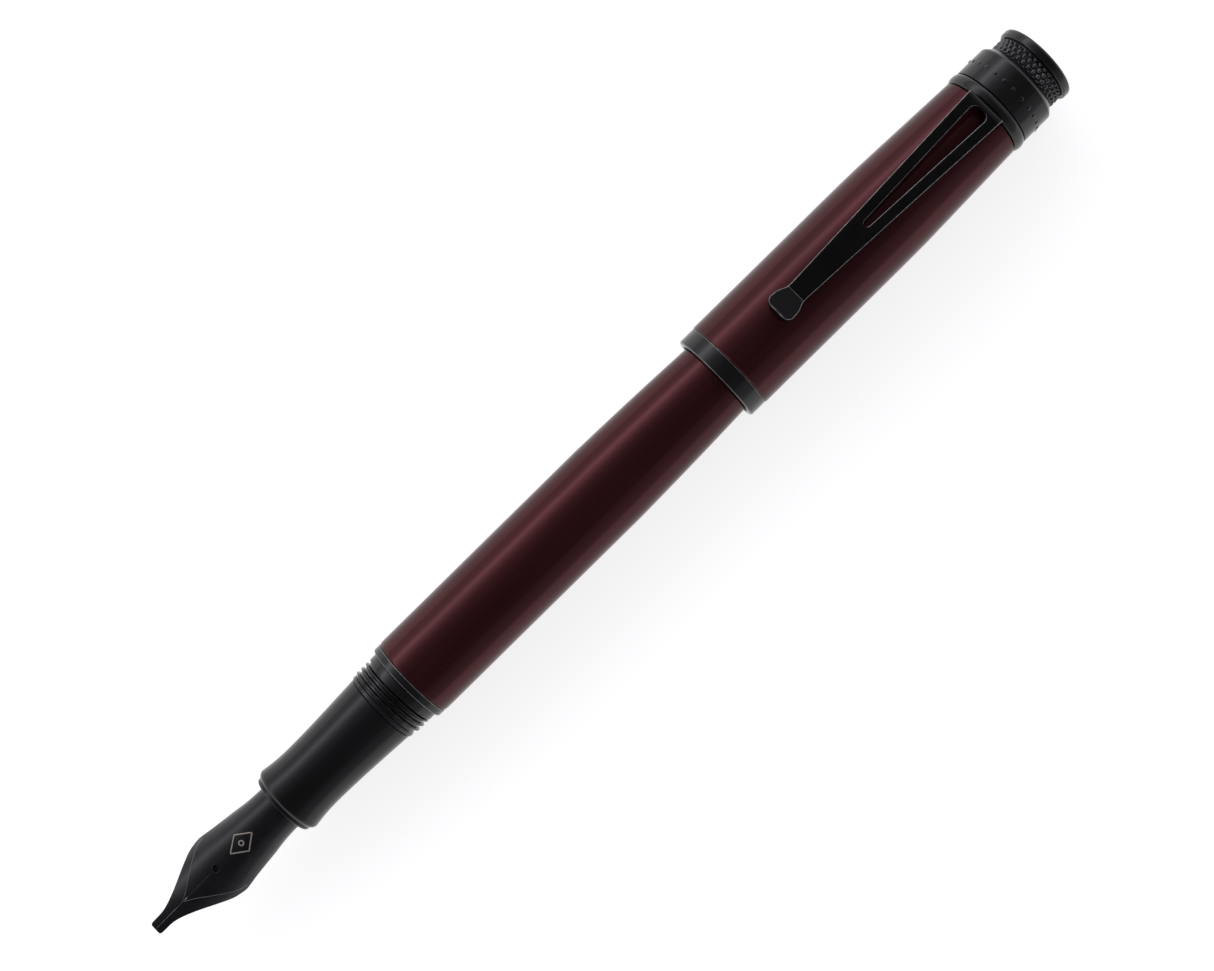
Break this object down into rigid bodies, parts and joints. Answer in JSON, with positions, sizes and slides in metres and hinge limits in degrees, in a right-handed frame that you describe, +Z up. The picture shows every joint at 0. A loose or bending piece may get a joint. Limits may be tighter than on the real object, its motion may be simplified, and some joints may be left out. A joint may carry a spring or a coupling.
{
  "type": "fountain pen",
  "caption": "Fountain pen with its cap posted: stub nib, waisted grip, screw-on lacquered barrel, piston converter, slotted spring clip and knurled crown knob.",
  "frame": {"origin": "on the table, under the middle of the pen's length", "axes": "+X along the pen from the nib to the crown of the cap, +Z up, the side that the clip is on"},
  "size_m": [0.1536, 0.0128, 0.0148],
  "materials": {
    "cherry_lacquer": "deep cherry lacquer under a clear gloss coat",
    "black_metal": "gloss black plating",
    "black_nib": "satin black plated steel with a pale gold engraved ornament",
    "black_resin": "polished black resin",
    "feed_plastic": "moulded black plastic",
    "clear_plastic": "clear moulded plastic",
    "white_plastic": "moulded white plastic",
    "polished_steel": "polished steel",
    "brass": "turned brass"
  },
  "bodies": {
    "section": {"grip_section": "black_resin", "threaded_collar": "black_metal"},
    "nib_carrier": {"nib_housing": "black_resin"},
    "nib_unit": {"nib": "black_nib", "feed": "feed_plastic"},
    "converter": {"converter_tube": "clear_plastic", "converter_sleeve": "polished_steel", "converter_bushing": "feed_plastic"},
    "converter_drive": {"drive_spindle": "white_plastic", "converter_knob": "feed_plastic"},
    "piston": {"converter_piston": "feed_plastic", "piston_rod": "white_plastic"},
    "barrel_insert": {"barrel_thread_insert": "brass"},
    "barrel_trim": {"barrel_trim_ring": "black_metal"},
    "barrel": {"barrel_shell": "cherry_lacquer", "barrel_end_cap": "black_metal"},
    "cap_liner": {"inner_cap": "feed_plastic"},
    "cap": {"cap_body": "cherry_lacquer", "cap_lip_ring": "black_metal", "cap_thread_insert": "brass", "crown_bead": "black_metal", "crown_band": "black_metal", "knurled_knob": "black_metal", "finial_stud": "brass"},
    "clip": {"clip": "black_metal"}
  },
  "joints": [
    {"name": "nib_lead", "type": "slide", "parent": "section", "child": "nib_carrier", "axis": [-1, 0, 0], "range_m": [0, 0.0048]},
    {"name": "nib_unscrew", "type": "hinge", "parent": "nib_carrier", "child": "nib_unit", "pos_m": [-0.04, 0, 0.00643], "axis": [-1, 0, 0], "range_deg": [0, 2880]},
    {"name": "converter_pull", "type": "slide", "parent": "section", "child": "converter", "axis": [1, 0, 0], "range_m": [0, 0.0065]},
    {"name": "knob_turn", "type": "hinge", "parent": "converter", "child": "converter_drive", "pos_m": [0.03, 0, 0.00643], "axis": [1, 0, 0], "range_deg": [0, 2640]},
    {"name": "piston_travel", "type": "slide", "parent": "converter", "child": "piston", "axis": [1, 0, 0], "range_m": [0, 0.022]},
    {"name": "barrel_pull_off", "type": "slide", "parent": "section", "child": "barrel_insert", "axis": [1, 0, 0], "range_m": [0, 0.075]},
    {"name": "barrel_lead", "type": "slide", "parent": "barrel_insert", "child": "barrel_trim", "axis": [1, 0, 0], "range_m": [0, 0.0048]},
    {"name": "barrel_unscrew", "type": "hinge", "parent": "barrel_trim", "child": "barrel", "pos_m": [0, 0, 0.00643], "axis": [1, 0, 0], "range_deg": [0, 2160]},
    {"name": "cap_pull_off", "type": "slide", "parent": "barrel", "child": "cap_liner", "axis": [1, 0, 0], "range_m": [0, 0.03]},
    {"name": "cap_turn", "type": "hinge", "parent": "cap_liner", "child": "cap", "pos_m": [0.045, 0, 0.00643], "axis": [1, 0, 0], "continuous": true},
    {"name": "clip_lift", "type": "hinge", "parent": "cap", "child": "clip", "pos_m": [0.0662, 0, 0.01163], "axis": [0, 1, 0], "range_deg": [0, 5], "stiffness_Nm_per_rad": 1}
  ],
  "couplings": [
    {"joint": "nib_unscrew", "follows": "nib_lead", "rad_per_m": 10472},
    {"joint": "knob_turn", "follows": "piston_travel", "rad_per_m": 2094.4},
    {"joint": "barrel_unscrew", "follows": "barrel_lead", "rad_per_m": 7854}
  ]
}
